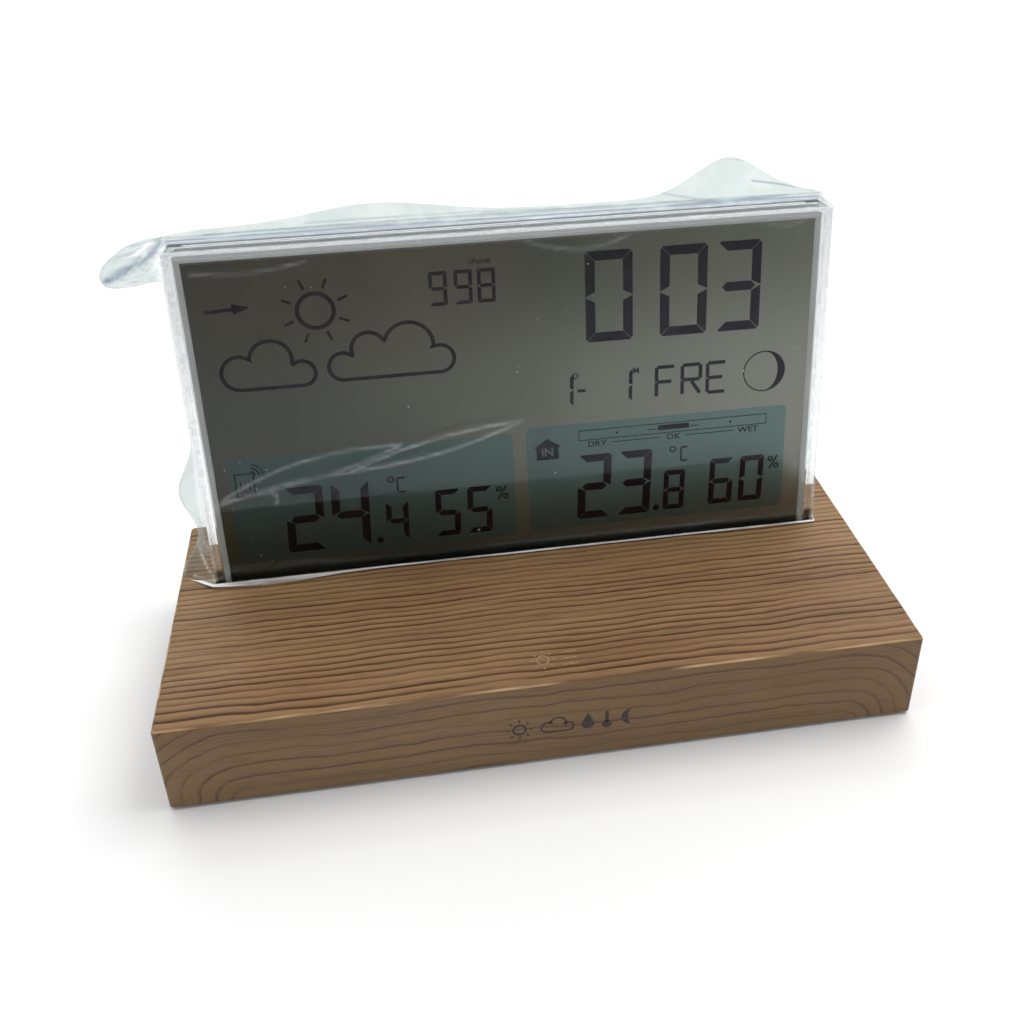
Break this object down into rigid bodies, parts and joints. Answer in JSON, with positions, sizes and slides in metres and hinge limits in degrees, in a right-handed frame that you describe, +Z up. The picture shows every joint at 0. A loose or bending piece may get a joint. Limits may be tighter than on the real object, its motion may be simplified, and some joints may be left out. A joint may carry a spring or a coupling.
{
  "type": "weather station",
  "caption": "Desk weather station: a clear upright case with a segment LCD standing in a slot in a hollow wood-look base with rear buttons, still in its clear protective sleeve.",
  "frame": {"origin": "middle of the base's footprint, on the surface that its rubber strips stand on", "axes": "+X to the right along the base, +Y to the back, +Z up"},
  "size_m": [0.155, 0.0648, 0.1016],
  "materials": {
    "wood_finish": "printed wood grain, satin",
    "black_plastic": "fine moulded texture",
    "white_plastic": "moulded, satin",
    "button_plastic": "moulded, satin",
    "clear_acrylic": "polished clear acrylic",
    "lcd_glass": "grey border glass",
    "lcd_face": "dark polarizer with its segments",
    "white_film": "reflector film",
    "clear_film": "loose clear sleeve, wrinkled",
    "circuit_board": "solder mask over glass fibre",
    "dark_epoxy": "moulded epoxy",
    "ceramic_white": "sensor body",
    "steel": "nickel plated",
    "copper": "copper wire and foil",
    "rubber": "soft grip rubber",
    "cell_jacket": "printed cell jacket",
    "flex_film": "amber polyimide"
  },
  "bodies": {
    "station": {"base_shell": "wood_finish", "bottom_cover": "black_plastic", "grip_strips": "rubber", "cover_screws": "steel", "battery_1": "cell_jacket", "battery_2": "cell_jacket", "battery_3": "cell_jacket", "battery_springs": "steel", "battery_plates": "steel", "main_pcb": "circuit_board", "pcb_screws": "steel", "controller_chip": "dark_epoxy", "quartz_crystal": "steel", "capacitors": "dark_epoxy", "radio_board": "circuit_board", "antenna_coil": "copper", "pressure_sensor": "steel", "humidity_sensor": "ceramic_white", "buzzer": "dark_epoxy", "flex_connector": "white_plastic", "touch_pad": "copper", "touch_spring": "steel", "usb_socket": "steel", "switch_bodies": "dark_epoxy", "front_case": "clear_acrylic", "rear_case": "clear_acrylic", "front_polarizer": "lcd_face", "lcd_front_glass": "lcd_glass", "lcd_rear_glass": "lcd_glass", "rear_polarizer": "lcd_face", "light_guide": "clear_acrylic", "reflector_sheet": "white_film", "backlight_frame": "black_plastic", "led_strip": "white_plastic", "lcd_flex": "flex_film", "display_bracket": "black_plastic", "bracket_screws": "steel"},
    "button_mode": {"button_mode": "button_plastic", "plunger_mode": "white_plastic"},
    "button_up": {"button_up": "button_plastic", "plunger_up": "white_plastic"},
    "button_down": {"button_down": "button_plastic", "plunger_down": "white_plastic"},
    "button_channel": {"button_channel": "button_plastic", "plunger_channel": "white_plastic"},
    "button_alarm": {"button_alarm": "button_plastic", "plunger_alarm": "white_plastic"},
    "battery_door": {"battery_door": "black_plastic"},
    "protective_film": {"protective_film": "clear_film"}
  },
  "joints": [
    {"name": "press_mode", "type": "slide", "parent": "station", "child": "button_mode", "axis": [0, -1, 0], "range_m": [0, 0.0005], "stiffness_N_per_m": 600, "springref_m": -0.0002},
    {"name": "press_up", "type": "slide", "parent": "station", "child": "button_up", "axis": [0, -1, 0], "range_m": [0, 0.0005], "stiffness_N_per_m": 600, "springref_m": -0.0002},
    {"name": "press_down", "type": "slide", "parent": "station", "child": "button_down", "axis": [0, -1, 0], "range_m": [0, 0.0005], "stiffness_N_per_m": 600, "springref_m": -0.0002},
    {"name": "press_channel", "type": "slide", "parent": "station", "child": "button_channel", "axis": [0, -1, 0], "range_m": [0, 0.0005], "stiffness_N_per_m": 600, "springref_m": -0.0002},
    {"name": "press_alarm", "type": "slide", "parent": "station", "child": "button_alarm", "axis": [0, -1, 0], "range_m": [0, 0.0005], "stiffness_N_per_m": 600, "springref_m": -0.0002},
    {"name": "door_removal", "type": "slide", "parent": "station", "child": "battery_door", "axis": [0, 0, -1], "range_m": [0, 0.02]},
    {"name": "film_removal", "type": "slide", "parent": "station", "child": "protective_film", "axis": [0, 0.1219, 0.9925], "range_m": [0, 0.075]}
  ]
}
